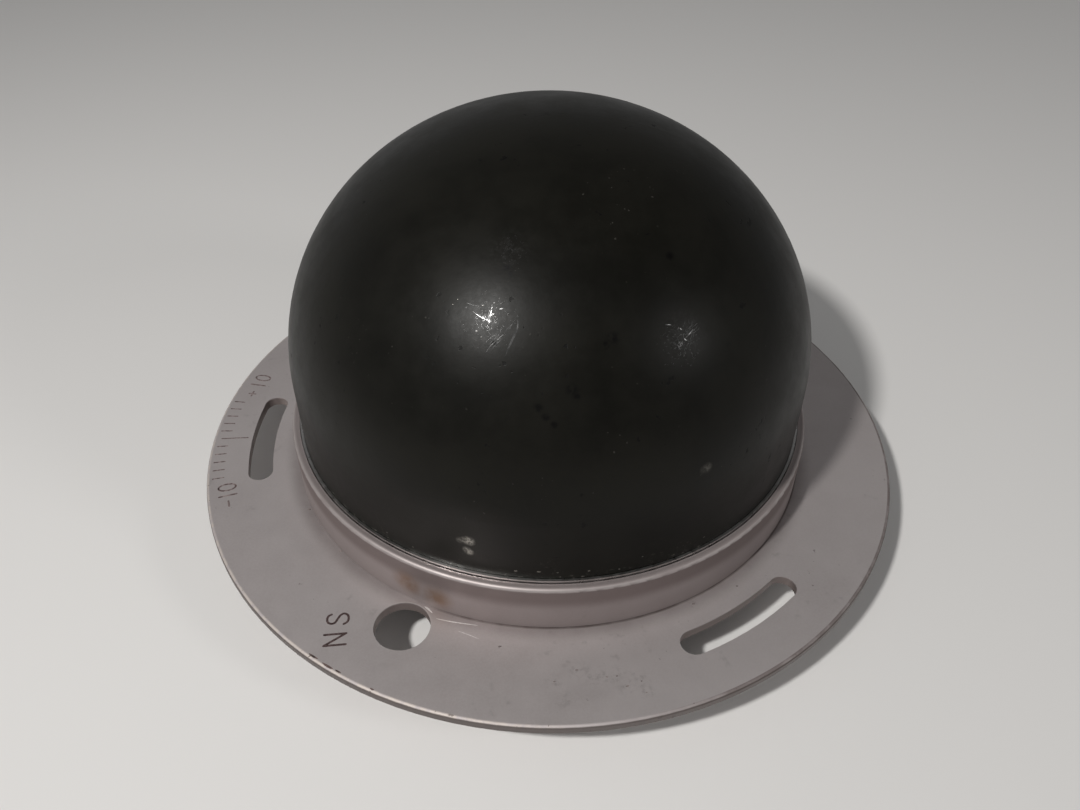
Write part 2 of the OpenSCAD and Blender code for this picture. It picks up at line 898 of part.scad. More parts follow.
mounting_flange();
bowl();
clamp_ring();
bowl_gasket();
header_plate();
header_screws();
suspension_post();
post_screws();
terminal_pins();
terminal_seals();
terminal_insulator();
terminal_washers();
terminal_nuts();
filler_plug();
filler_washer();
cover_pillars();
cover_gasket();
terminal_cover();
cover_screws();
cable_grommet();
gimbal_cross();
roll_pins();
pitch_pins();
pendulum_yoke();
lower_core();
upper_core();
core_post();
exciter_bobbin();
exciter_coil();
pickup_bobbin(1);  // pickup_bobbin_1
pickup_bobbin(2);  // pickup_bobbin_2
pickup_bobbin(3);  // pickup_bobbin_3
pickup_coil(1);  // pickup_coil_1
pickup_coil(2);  // pickup_coil_2
pickup_coil(3);  // pickup_coil_3
flux_horn(1);  // flux_horn_1
flux_horn(2);  // flux_horn_2
flux_horn(3);  // flux_horn_3
horn_screws();
horn_nuts();
pendulum_weight();
centre_stud();
stud_washer();
stud_nut();
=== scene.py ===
"""Looks of a remote compass transmitter that stands on its terminal cover with its black bowl up.

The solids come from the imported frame. This script gives every one of them a procedural finish, and adds
what is too fine for them: the engraved scale, the two pole letters, and the wear of the paint and metal.
Lengths are in millimetres unless a comment says otherwise, and become metres where Blender takes them.
"""
import json
import math
import random

import bmesh
import bpy
from mathutils import Matrix, Vector


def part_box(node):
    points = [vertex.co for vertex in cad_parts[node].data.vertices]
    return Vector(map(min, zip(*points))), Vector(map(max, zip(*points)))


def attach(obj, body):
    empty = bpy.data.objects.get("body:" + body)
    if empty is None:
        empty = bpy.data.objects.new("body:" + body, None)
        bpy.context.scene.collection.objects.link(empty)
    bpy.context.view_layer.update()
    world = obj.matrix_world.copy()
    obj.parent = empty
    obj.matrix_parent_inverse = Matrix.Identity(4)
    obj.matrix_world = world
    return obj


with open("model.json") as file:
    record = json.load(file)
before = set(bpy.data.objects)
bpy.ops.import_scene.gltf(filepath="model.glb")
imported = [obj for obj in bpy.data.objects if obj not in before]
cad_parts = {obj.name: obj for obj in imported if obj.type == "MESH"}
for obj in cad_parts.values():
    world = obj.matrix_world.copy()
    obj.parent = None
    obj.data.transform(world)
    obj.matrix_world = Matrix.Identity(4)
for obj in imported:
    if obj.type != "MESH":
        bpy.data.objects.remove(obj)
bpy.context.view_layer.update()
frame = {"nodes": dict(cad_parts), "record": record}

MM = 0.001
UP = Vector((0, 0, 1))
NODES = frame["nodes"]
SLOT_OF = {part["node"]: part["material_slot"] for part in frame["record"]["subparts"]}
ACCESS_HOLE = next(mount for mount in frame["record"]["mounts"] if mount["name"] == "access_hole")

# Heights and radii of the part
FLANGE_LOW, FLANGE_HIGH = (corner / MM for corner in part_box("mounting_flange"))
FLANGE_T = ACCESS_HOLE["dims"]["length_mm"]
FLANGE_TOP = FLANGE_LOW.z + FLANGE_T
FLANGE_R = FLANGE_HIGH.x
COLLAR_TOP = FLANGE_HIGH.z
COLLAR_R = 46.8
LIP_R = 0.7
LIP_FLAT_R = COLLAR_R - LIP_R
LIP_CENTRE_Z = COLLAR_TOP - LIP_R
CLAMP_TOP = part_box("clamp_ring")[1].z / MM
HOLE_R = ACCESS_HOLE["dims"]["r_mm"]
HOLE_AT = tuple(c / MM for c in ACCESS_HOLE["pos_m"][:2])

# Camera: direction in degrees, focal length in pixels of the photograph
PHOTO_W, PHOTO_H = 1080, 810
CAMERA_AT = (-10.84, -129.09, FLANGE_TOP + 116.01)
CAMERA_YAW = 4.108
CAMERA_PITCH = 40.597
CAMERA_ROLL = -0.292
CAMERA_NEAR = 5
FOCAL_PX = 900
SENSOR_W = 36

# Surroundings: pairs of a direction's height and its grey level, and the share of the light that is left
# on the right, which falls to it between two X values of the direction
WORLD_LEVELS = ((0.05, 0.36), (0.6, 0.2))
WORLD_SIDE = (-0.3, 0.8)
WORLD_RIGHT = 0.6

# Lamps: angles in degrees, lengths and places in metres, power in watts. Angles and distance are seen from
# LAMP_FROM. They face LAMP_AIM, well above the object, so that the floor stays evenly pale.
LAMPS = [
    dict(name="key", azimuth=-130.9, elevation=47.4, distance=0.438, size=0.034, power=1.84,
         colour=(1, 0.985, 0.96)),
    dict(name="side", azimuth=-31.8, elevation=27, distance=0.9, size=0.2, power=1.14,
         colour=(1, 0.99, 0.975)),
]
LAMP_FROM = (0, 0, 0.035)
LAMP_AIM = (0, 0, 0.26)

# Floor: half its side, and the distances between which it fades into the surroundings
FLOOR_HALF = 4000
FLOOR_FADE = (390, 600)
FLOOR_GREY = (0.74, 0.73, 0.72)

# Engraved scale beside the slot on -X; angles run from its zero line, in degrees
SCALE_ANGLE = 180
SCALE_STEP = 2
SCALE_END = 10
ZERO_LINE = (57.1, 61.9)
TICK_LINE = (60.5, 62.4)
LINE_W = 0.26
SCALE_NUMERALS = [("-", 16.6), ("1", 14.6), ("0", 12.6), ("+", -12.6), ("1", -15.3), ("0", -17.5)]
NUMERAL_R = 59.9
NUMERAL_H = 3.0
NUMERAL_W = 0.34

# Pole letters beside the access hole: radius, angle in degrees; all turned by the same angle
POLE_LETTERS = [("N", 58.9, -127.6), ("S", 55.9, -129.9)]
LETTER_TURN = -50
LETTER_H = 3.3
LETTER_W = 0.36

# Thin pieces: how far they stand above the surface and reach below it. Each stroke of a character is a
# step higher than the one before, so that strokes that cross don't share a plane.
ENGRAVING_LIFT = 0.012
STROKE_STEP = 0.002
SCRATCH_LIFT = 0.012
SCUFF_LIFT = 0.009
RUB_LIFT = 0.006
SINK = 0.05

# Strips: degrees along their round ends, the share of their width that is left at a pointed tip, and the
# steps between two points of a curve
CAP_ANGLES = (25, 50, 70, 85)
TIP_SHARE = 0.12
CURVE_STEPS = 6

# Chips: height, width as a share of the length, sides and rings of their mesh, the waves that make their
# outline uneven, and the sine of the slope up to which a surface counts as level under them
CHIP_H = 0.015
CHIP_NARROW = 0.6
CHIP_SIDES = 14
CHIP_RINGS = 3
CHIP_WAVES = (2, 3, 4, 5)
CHIP_UNEVEN = 0.45
LEVEL_SINE = 0.1

# Stains in the paint of the bowl, and painted glints on it: pixel in the photograph, reach, and strength of
# a glint.
# A mark is at full strength within its core.
STAIN_CORE = 0.2
GLINT_CORE = 0.1
BOWL_STAINS = [
    (507, 268, 0.9), (511, 274, 0.6), (670, 256, 0.9), (614, 338, 1.2), (606, 345, 0.8), (572, 390, 1.2),
    (577, 397, 0.7), (538, 408, 0.9), (546, 417, 0.8), (554, 425, 0.7),
]
BOWL_GLINTS = [
    (460, 540, 0.85, 0.25), (464.5, 540.4, 1, 0.5), (468.6, 540.9, 1.2, 0.9), (470.2, 542.6, 0.9, 0.75),
    (467, 549.6, 0.9, 0.55), (469.2, 551.6, 0.95, 0.75), (707.3, 467.8, 1.1, 0.2), (704.5, 469, 1, 0.12),
]

# Painted sheen, mottled, at the highlights of the bowl: pixel in the photograph, reach, strength
SHEEN_CORE = 0.5
BOWL_SHEEN = [(485, 318, 6, 0.26), (684, 336, 5.5, 0.05), (510, 250, 4.5, 0.05)]

# Grey smudges at the front of the flange, and brown film on the collar: pixel in the photograph, reach
SMUDGE_CORE = 0.2
FILM_CORE = 0.3
FLANGE_SMUDGES = [
    (554, 682, 1.8), (577, 670, 2.3), (594, 676, 2.6), (607, 677, 2.4), (617, 675, 2.2), (628, 686, 2.2),
    (642, 681, 1.8), (647, 692, 1.7), (565, 700, 2), (693, 604, 1.2),
]
COLLAR_FILM = [(408, 583, 3.6), (437, 598, 3.6)]

# Single scratches: the pixels that they run through in the photograph, and their width
BOWL_SCRATCHES = [
    ([(472, 311.1), (476.6, 314.1), (481.9, 317.8), (486.3, 319.3), (488.8, 320.4)], 0.045),
    ([(480.5, 316.4), (484, 318.6), (488.5, 320.6)], 0.05),
    ([(488.8, 321.5), (488.3, 316.4), (489.1, 311.9), (491, 309)], 0.055),
    ([(482.3, 317.6), (484.6, 314.9), (486.3, 317.6)], 0.05),
    ([(488.8, 319.3), (491.4, 314.9), (494.5, 313.6)], 0.055),
    ([(488.3, 314.4), (488.9, 318.5), (489.3, 323)], 0.16),
    ([(489.4, 318.5), (490.6, 313.5), (492.2, 308.2)], 0.1),
    ([(485, 319.5), (487.5, 319), (490.5, 316.5)], 0.07),
    ([(491.2, 308.7), (492, 307.9), (492.8, 307.2)], 0.09),
    ([(693, 329.2), (690.5, 332.6), (687.8, 335.8)], 0.1),
    ([(680.1, 328.2), (680.8, 329), (681.6, 329.9)], 0.12),
    ([(665, 324.8), (668, 324.7), (671.3, 324.9)], 0.08),
    ([(684, 338), (685.2, 339.6), (687, 340.4)], 0.07),
]
RUBBED_STROKES = [
    ([(502.5, 338), (496, 344.5), (491, 350)], 0.12),
    ([(499, 334.5), (494, 339.5), (488, 345)], 0.1),
    ([(517.7, 319.3), (517.4, 328.4), (514.3, 335.3), (508, 349), (505.7, 355.9)], 0.28),
    ([(512.6, 323.9), (509, 327.5), (505, 331)], 0.18),
]
FAINT_SCRATCHES = [
    ([(504, 333.6), (497.1, 339.9), (489.7, 346.7), (486.3, 352.4)], 0.09),
    ([(466, 302.5), (473, 305), (480, 306)], 0.04),
    ([(480.3, 337), (481.1, 336.7), (483, 336)], 0.1),
    ([(499.4, 309.2), (501.7, 308.7), (503.4, 308.2)], 0.16),
    ([(475.6, 331.4), (476.6, 330.9), (477.5, 330.2)], 0.2),
    ([(465.3, 307.6), (466.3, 307.3), (467.3, 306.6)], 0.12),
    ([(482, 305.4), (482.9, 305), (484.2, 305)], 0.12),
    ([(493.5, 303), (494.3, 302.7), (495, 302)], 0.1),
]
FLANGE_SCRATCHES_AND_GLINT = [
    # The first is a painted glint on the sliver between the access hole and the collar
    ([(424.6, 606.6), (428, 608.8), (432.4, 613)], 0.3),
    ([(436, 618.5), (452, 621.8), (478, 625.5)], 0.16),
    ([(458, 631), (468, 634.5), (479, 639)], 0.09),
]
RIM_NICKS = [
    ([(309, 653.5), (313, 656.3), (318, 659)], 0.32),
    ([(322, 662.5), (328, 666.5), (333, 669)], 0.38),
    ([(335, 669.8), (338, 671.6), (341, 673)], 0.28),
    ([(370, 688), (372, 689.3), (374, 690)], 0.26),
]

# Fields of fine scratches on the bowl: middle pixel, reach in pixels, how many, range of lengths in
# pixels, direction and its scatter in degrees, greatest width; then the bow of the lines as a share of
# half their length, the shares of the greatest width, and the seed of all that is drawn at random
SCUFFS = [
    (487, 317, 13, 60, (1.5, 5), -20, 80, 0.045),
    (489, 321, 30, 150, (1, 3), 40, 90, 0.028),
    (498, 340, 16, 6, (6, 20), 46, 12, 0.025),
    (512, 250, 16, 60, (1, 3), 60, 60, 0.035),
    (687, 334, 13, 60, (1, 6), 55, 30, 0.04),
    (680, 346, 24, 130, (1, 3), 70, 60, 0.035),
]
SCUFF_BOW = (-0.15, 0.15)
SCUFF_WIDTHS = (0.4, 1)
SEED = 7

# Small chips: pixel in the photograph and length
BOWL_CHIPS = [
    (477, 331, 0.3), (481.3, 337, 0.24), (483, 305.4, 0.24), (452.7, 304.2, 0.2), (457.6, 299.4, 0.2),
    (515.7, 570.9, 0.5), (538.9, 571.8, 0.55), (557.7, 572.7, 0.3), (588.9, 570.9, 0.36),
    (619.3, 569.1, 0.3), (642.5, 556.6, 0.26), (704, 537, 0.34), (387, 532.5, 0.4), (413, 547, 0.3),
    (453, 567, 0.4), (462, 569, 0.5),
]
FLANGE_SPECKS = [
    (309.4, 509.4, 0.6), (340.8, 551, 0.7), (499.8, 646.5, 0.5), (693.4, 604, 0.5), (737, 586, 0.4),
    (554.3, 681.6, 0.4), (576.7, 670, 0.5), (607, 677, 0.4), (617, 676, 0.35), (627.6, 686, 0.55),
    (641.6, 681, 0.3), (646.7, 692.5, 0.3),
]

# Zones of wear, painted shade and painted highlight on the flange: the distances between which a zone sets
# in, from the face or edge that it belongs to, and the X values between which it sets in where it is on one
# side only
FOOT_REACH = 3.2
FOOT_BAND = 0.05
FOOT_RISE = (0.1, 0.6)
CORNER_REACH = (0.1, 0.36)
CORNER_X = (-25, -17)
WALL_REACH = (0.2, 0)
WALL_RISE = (0, 0.5)
UNDER_LIP_DROP = (5, 2.4)
LIP_INSET = (0.12, 0.08)
LIP_DROP = (0.02, 0)
LIP_DULL_X = (-12, 14)
CUT_INSET = (1, 1.5)
CUT_DROP = (0.08, 0.32)
HOLE_EDGE = (0.02, 0.14)
HOLE_EDGE_SOFT = 0.06
HOLE_DROP = (0.06, 0.02)
RIM_INSET = (0.6, 0.45)
RIM_DROP = (0.5, 0.4)
RIM_HIGHLIGHT_X = (2, -14)
RIM_SHADE_X = (-5, 25)
EDGE_INSET = (0.3, 0.12)
EDGE_DROP = (0.12, 0.26)
NICK_INSET = (0.7, 0.4)

# Wear of the bowl: heights above the clamp ring between which it fades
DUST_RISE = (0.5, 7)
DASH_RISE = (0.3, 1.4)

# Upward part of the lip's normal: where it has worn polish and a painted highlight, how softly that ends,
# and where the side begins
POLISHED_UP = (0.45, 0.8)
POLISHED_SOFT = 0.18
SIDE_UP = (0.35, 0)

# Colours of the flange
METAL_DARK = (0.455, 0.412, 0.408)
METAL_LIGHT = (0.515, 0.472, 0.468)
METAL_GRAIN = (0.56, 0.53, 0.53)
# Worn polish, with a painted highlight on the lip's rounding
METAL_POLISH_HIGHLIGHT = (0.5, 0.47, 0.46)
SCUFF_GREY = (0.24, 0.22, 0.215)
SPECK_BROWN = (0.1, 0.075, 0.07)
SMUDGE_GREY = (0.2, 0.185, 0.18)
# Painted shade on the collar's wall, and deeper under its lip
WALL_SHADE = (0.23, 0.19, 0.185)
UNDER_LIP_SHADE = (0.16, 0.125, 0.12)
FILM_BROWN = (0.21, 0.125, 0.08)
# Painted shade round the collar's foot and along its corner
FOOT_SHADE = (0.2, 0.172, 0.168)
CORNER_SHADE = (0.12, 0.095, 0.09)
# Painted shade on the walls of the slots and holes
CUT_SHADE = (0.22, 0.18, 0.17)
# Rim: worn with a painted highlight on the left, painted shade on the right and on its outer edge
RIM_WORN_HIGHLIGHT = (0.6, 0.54, 0.49)
RIM_SHADE = (0.15, 0.12, 0.115)
RIM_EDGE_SHADE = (0.1, 0.082, 0.076)
NICK_BROWN = (0.08, 0.06, 0.055)

# Colours of the bowl
PAINT_DARK = (0.0036, 0.0034, 0.0024)
PAINT_LIGHT = (0.0062, 0.0058, 0.0042)
PAINT_STAIN = (0.0012, 0.001, 0.0008)
PAINT_DUST = (0.1, 0.095, 0.085)
# Painted sheen at the highlights
PAINT_SHEEN = (0.1, 0.1, 0.098)
FOOT_DUST = (0.12, 0.11, 0.095)
# Worn paint, and the painted glints
PAINT_WORN_AND_GLINT = (0.31, 0.29, 0.26)

# Turned metals: darker and lighter colour, roughness
TURNED_METALS = {
    "ring_metal": ((0.5, 0.49, 0.48), (0.64, 0.63, 0.62), 0.32),
    "header_metal": ((0.48, 0.48, 0.47), (0.58, 0.58, 0.57), 0.36),
    "screw_steel": ((0.4, 0.4, 0.4), (0.55, 0.54, 0.53), 0.34),
    "brass": ((0.6, 0.44, 0.18), (0.74, 0.57, 0.28), 0.3),
    "terminal_brass": ((0.64, 0.49, 0.21), (0.76, 0.61, 0.31), 0.24),
    "cover_metal": ((0.42, 0.4, 0.395), (0.52, 0.5, 0.49), 0.42),
    "pin_steel": ((0.52, 0.52, 0.52), (0.64, 0.64, 0.64), 0.18),
    "core_metal": ((0.36, 0.37, 0.38), (0.46, 0.47, 0.48), 0.38),
}

# Grained stuffs: darker and lighter colour, roughness, size and depth of the grain
GRAINED_STUFFS = {
    "seal_rubber": ((0.02, 0.02, 0.02), (0.036, 0.035, 0.034), 0.7, 0.4, 0.01),
    "phenolic": ((0.16, 0.075, 0.035), (0.27, 0.14, 0.07), 0.5, 0.6, 0.006),
    "fibre": ((0.3, 0.075, 0.055), (0.43, 0.13, 0.1), 0.65, 0.3, 0.008),
    "bobbin_plastic": ((0.6, 0.5, 0.33), (0.73, 0.63, 0.45), 0.45, 0.5, 0.005),
}

# Textures: the levels that noise mostly keeps between, and the width of the rings that a lathe leaves
NOISE_RANGE = (0.3, 0.7)
LATHE_RING = 0.12


def make_camera():
    """Camera that sees the part as the photograph shows it."""
    data = bpy.data.cameras.new("camera")
    data.sensor_fit = "HORIZONTAL"
    data.sensor_width = SENSOR_W
    data.lens = SENSOR_W * FOCAL_PX / PHOTO_W
    data.clip_start = CAMERA_NEAR * MM
    camera = bpy.data.objects.new("camera", data)
    bpy.context.scene.collection.objects.link(camera)
    turn = (
        Matrix.Rotation(math.radians(-CAMERA_YAW), 4, "Z")
        @ Matrix.Rotation(math.radians(90 - CAMERA_PITCH), 4, "X")
        @ Matrix.Rotation(math.radians(-CAMERA_ROLL), 4, "Z")
    )
    camera.matrix_world = Matrix.Translation(Vector(CAMERA_AT) * MM) @ turn
    bpy.context.scene.camera = camera
    return camera


def on_photo(camera, u, v, node):
    """Point in metres, and normal, where the sight line of pixel (u, v) of the photograph meets a node."""
    ray = Vector(((u - PHOTO_W / 2) / FOCAL_PX, (PHOTO_H / 2 - v) / FOCAL_PX, -1))
    direction = (camera.matrix_world.to_3x3() @ ray).normalized()
    hit, point, normal, _ = NODES[node].ray_cast(camera.matrix_world.translation, direction)
    if not hit:
        raise ValueError(f"pixel {u}, {v} does not meet {node}")
    return point, normal


def make_lamp(name, azimuth, elevation, distance, size, power, colour):
    data = bpy.data.lights.new(name, "AREA")
    data.shape = "DISK"
    data.size = size
    data.energy = power
    data.color = colour
    lamp = bpy.data.objects.new(name, data)
    bpy.context.scene.collection.objects.link(lamp)
    az = math.radians(azimuth)
    el = math.radians(elevation)
    away = Vector((math.cos(el) * math.cos(az), math.cos(el) * math.sin(az), math.sin(el)))
    lamp.location = Vector(LAMP_FROM) + distance * away
    lamp.rotation_euler = (lamp.location - Vector(LAMP_AIM)).to_track_quat("Z", "Y").to_euler()


def make_world():
    """Grey surroundings, darker towards the top and on the right."""
    world = bpy.data.worlds.new("studio")
    bpy.context.scene.world = world
    world.use_nodes = True
    nodes = world.node_tree.nodes
    links = world.node_tree.links
    direction = nodes.new("ShaderNodeTexCoord")
    parts = nodes.new("ShaderNodeSeparateXYZ")
    links.new(direction.outputs["Generated"], parts.inputs[0])
    ramp = nodes.new("ShaderNodeValToRGB")
    for element, (position, level) in zip(ramp.color_ramp.elements, WORLD_LEVELS):
        element.position = position
        element.color = (level, level, level, 1)
    links.new(parts.outputs["Z"], ramp.inputs["Fac"])
    links.new(ramp.outputs["Color"], nodes["Background"].inputs["Color"])
    side = nodes.new("ShaderNodeMapRange")
    side.interpolation_type = "SMOOTHSTEP"
    side.inputs["From Min"].default_value = WORLD_SIDE[0]
    side.inputs["From Max"].default_value = WORLD_SIDE[1]
    side.inputs["To Min"].default_value = 1
    side.inputs["To Max"].default_value = WORLD_RIGHT
    links.new(parts.outputs["X"], side.inputs["Value"])
    links.new(side.outputs["Result"], nodes["Background"].inputs["Strength"])


class Finish:
    """A Principled material. Its helpers add nodes and give back their outputs; places are in mm.

    The functions that build a material, or a part of one, call it m.
    """

    def __init__(self, name):
        self.data = bpy.data.materials.new(name)
        self.data.use_nodes = True
        self.nodes = self.data.node_tree.nodes
        self.links = self.data.node_tree.links
        self.shader = self.nodes["Principled BSDF"]
        self._place = None

    def add(self, kind, **settings):
        node = self.nodes.new(kind)
        for key, value in settings.items():
            setattr(node, key, value)
        return node

    def feed(self, socket, value):
        """Links an output to a socket, or sets the socket to a number or a colour."""
        if isinstance(value, bpy.types.NodeSocket):
            self.links.new(value, socket)
        elif isinstance(value, tuple) and socket.type == "RGBA":
            socket.default_value = (*value, 1)
        else:
            socket.default_value = value

    def set(self, base=None, metallic=None, roughness=None, specular=None, normal=None, alpha=None):
        named = {"Base Color": base, "Metallic": metallic, "Roughness": roughness,
                 "Specular IOR Level": specular, "Normal": normal, "Alpha": alpha}
        for key, value in named.items():
            if value is not None:
                self.feed(self.shader.inputs[key], value)

    @property
    def place(self):
        """Place in the frame."""
        if self._place is None:
            scale = self.add("ShaderNodeVectorMath", operation="SCALE")
            self.links.new(self.add("ShaderNodeTexCoord").outputs["Object"], scale.inputs[0])
            scale.inputs["Scale"].default_value = 1 / MM
            self._place = scale.outputs[0]
        return self._place

    def stretched(self, factors):
        """Place, times a factor along each axis."""
        node = self.add("ShaderNodeVectorMath", operation="MULTIPLY")
        self.links.new(self.place, node.inputs[0])
        node.inputs[1].default_value = factors
        return node.outputs[0]

    def noise(self, size, detail=3.0, rough=0.55, stretch=None):
        node = self.add("ShaderNodeTexNoise")
        self.links.new(self.stretched(stretch) if stretch else self.place, node.inputs["Vector"])
        node.inputs["Scale"].default_value = 1 / size
        node.inputs["Detail"].default_value = detail
        node.inputs["Roughness"].default_value = rough
        return node.outputs["Fac"]

    def spread(self, value, between, to=(0, 1)):
        """Moves a value smoothly from between two levels to between two others."""
        node = self.add("ShaderNodeMapRange", interpolation_type="SMOOTHSTEP")
        self.feed(node.inputs["Value"], value)
        for key, level in zip(("From Min", "From Max", "To Min", "To Max"), (*between, *to)):
            node.inputs[key].default_value = level
        return node.outputs["Result"]

    def patches(self, size, between, to=(0, 1), **texture):
        """Patches where noise passes from one level to another."""
        return self.spread(self.noise(size, **texture), between, to)

    def cloud(self, size, to=(0, 1), **texture):
        """Noise over its usual range."""
        return self.patches(size, NOISE_RANGE, to, **texture)

    def maths(self, operation, a, b):
        node = self.add("ShaderNodeMath", operation=operation)
        self.feed(node.inputs[0], a)
        self.feed(node.inputs[1], b)
        return node.outputs[0]

    def chain(self, operation, first, *others):
        """Joins any number of values by one operation."""
        for other in others:
            first = self.maths(operation, first, other)
        return first

    def times(self, *values):
        return self.chain("MULTIPLY", *values)

    def plus(self, *values):
        return self.chain("ADD", *values)

    def most(self, *values):
        return self.chain("MAXIMUM", *values)

    def blend(self, kind, word, share, a, b):
        """Mix node for colours or vectors; word is what its sockets call them."""
        node = self.add("ShaderNodeMix", data_type=kind)
        inputs = {socket.identifier: socket for socket in node.inputs}
        for key, value in (("Factor_Float", share), ("A_" + word, a), ("B_" + word, b)):
            self.feed(inputs[key], value)
        return next(socket for socket in node.outputs if socket.identifier == "Result_" + word)

    def mix(self, share, a, b):
        """Colour a, with a share of colour b."""
        return self.blend("RGBA", "Color", share, a, b)

    def radius(self, x=0.0, y=0.0):
        """Distance from an upright axis: that of the part, or the one through (x, y)."""
        node = self.add("ShaderNodeVectorMath", operation="DISTANCE")
        self.links.new(self.stretched((1, 1, 0)), node.inputs[0])
        node.inputs[1].default_value = (x, y, 0)
        return node.outputs["Value"]

    def along(self, axis):
        """Coordinate along axis "X", "Y" or "Z"."""
        node = self.add("ShaderNodeSeparateXYZ")
        self.links.new(self.place, node.inputs[0])
        return node.outputs[axis]

    def height(self):
        return self.along("Z")

    def off(self, value, centre):
        """Distance of a value from a centre."""
        node = self.add("ShaderNodeMath", operation="ABSOLUTE")
        self.links.new(self.maths("SUBTRACT", value, centre), node.inputs[0])
        return node.outputs[0]

    def upright(self):
        """1 on upright walls, 0 on level faces."""
        parts = self.add("ShaderNodeSeparateXYZ")
        self.links.new(self.add("ShaderNodeNewGeometry").outputs["True Normal"], parts.inputs[0])
        return self.spread(self.off(parts.outputs["Z"], 0), (0.3, 0.7), (1, 0))

    def near(self, point, inner, outer):
        """1 within inner mm of a point in metres, 0 beyond outer mm."""
        node = self.add("ShaderNodeVectorMath", operation="DISTANCE")
        self.links.new(self.place, node.inputs[0])
        node.inputs[1].default_value = tuple(c / MM for c in point)
        return self.spread(node.outputs["Value"], (inner, outer), (1, 0))

    def band(self, value, low, high, soft):
        """1 between low and high, with soft flanks."""
        rise = self.spread(value, (low - soft, low))
        fall = self.spread(value, (high, high + soft), (1, 0))
        return self.times(rise, fall)

    def rounding(self, radius, height):
        """Outward and upward parts of the normal on a rounded top edge that runs round the part.

        The rounding is centred at (radius, height) of its section; both parts are 0 to 1.
        """
        out = self.most(self.maths("SUBTRACT", self.radius(), radius), 0)
        up = self.most(self.maths("SUBTRACT", self.height(), height), 0)
        length = self.maths("POWER", self.plus(self.times(out, out), self.times(up, up)), 0.5)
        return self.maths("DIVIDE", out, length), self.maths("DIVIDE", up, length)

    def turned(self, out, up, share):
        """Normal of a surface of revolution from its outward and upward parts, used by share."""
        away = self.add("ShaderNodeVectorMath", operation="NORMALIZE")
        self.links.new(self.stretched((1, 1, 0)), away.inputs[0])
        level = self.add("ShaderNodeVectorMath", operation="SCALE")
        self.links.new(away.outputs[0], level.inputs[0])
        self.links.new(out, level.inputs["Scale"])
        upward = self.add("ShaderNodeCombineXYZ")
        self.links.new(up, upward.inputs["Z"])
        total = self.add("ShaderNodeVectorMath", operation="ADD")
        self.links.new(level.outputs[0], total.inputs[0])
        self.links.new(upward.outputs[0], total.inputs[1])
        world = self.add("ShaderNodeVectorTransform", vector_type="NORMAL",
                         convert_from="OBJECT", convert_to="WORLD")
        self.links.new(total.outputs[0], world.inputs[0])
        own = self.add("ShaderNodeNewGeometry").outputs["Normal"]
        return self.blend("VECTOR", "Vector", share, own, world.outputs[0])

    def bump(self, height, depth, under=None):
        """Normal bent by a height; depth is in mm, and under is the normal that it starts from."""
        node = self.add("ShaderNodeBump")
        node.inputs["Strength"].default_value = 1
        node.inputs["Distance"].default_value = depth * MM
        self.links.new(height, node.inputs["Height"])
        if under is not None:
            self.links.new(under, node.inputs["Normal"])
        return node.outputs["Normal"]


def make_floor():
    half = FLOOR_HALF * MM
    corners = [(-half, -half, 0), (half, -half, 0), (half, half, 0), (-half, half, 0)]
    mesh = bpy.data.meshes.new("floor")
    mesh.from_pydata(corners, [], [(0, 1, 2, 3)])
    floor = bpy.data.objects.new("floor", mesh)
    bpy.context.scene.collection.objects.link(floor)
    m = Finish("floor_paint")
    m.set(base=FLOOR_GREY, roughness=0.85, specular=0.2, alpha=m.spread(m.radius(), FLOOR_FADE, (1, 0)))
    mesh.materials.append(m.data)


def less(value, amounts):
    """A value, less each of two amounts."""
    return tuple(value - amount for amount in amounts)


def more(value, amounts):
    """A value, plus each of two amounts."""
    return tuple(value + amount for amount in amounts)


def mark(m, camera, node, pixel, core, reach):
    """Mask of a round mark where a pixel meets a node: full within the core, none beyond the reach."""
    point, _ = on_photo(camera, *pixel, node)
    return m.near(point, core, reach)


def marks(m, camera, node, places, core):
    """Mask of several round marks, each a pixel and a reach."""
    return m.most(*(mark(m, camera, node, (u, v), core, reach) for u, v, reach in places))


def flange_face(m, camera):
    """Colour of the plain metal, with its grain, scuffs, specks and smudges."""
    base = m.mix(m.cloud(22, detail=4), METAL_DARK, METAL_LIGHT)
    base = m.mix(m.times(m.cloud(0.3, detail=2), 0.25), base, METAL_GRAIN)
    scuffs = m.times(m.patches(2.4, (0.56, 0.7), detail=5, rough=0.7), m.patches(14, (0.48, 0.6), detail=2))
    base = m.mix(m.times(scuffs, 0.3), base, SCUFF_GREY)
    specks = m.times(m.patches(0.8, (0.7, 0.76), detail=2), m.patches(9, (0.5, 0.62), detail=2))
    base = m.mix(m.times(specks, 0.5), base, SPECK_BROWN)
    smudges = m.times(marks(m, camera, "mounting_flange", FLANGE_SMUDGES, SMUDGE_CORE),
                      m.patches(1.1, (0.46, 0.66), detail=5, rough=0.7), 0.36)
    return m.mix(smudges, base, SMUDGE_GREY)


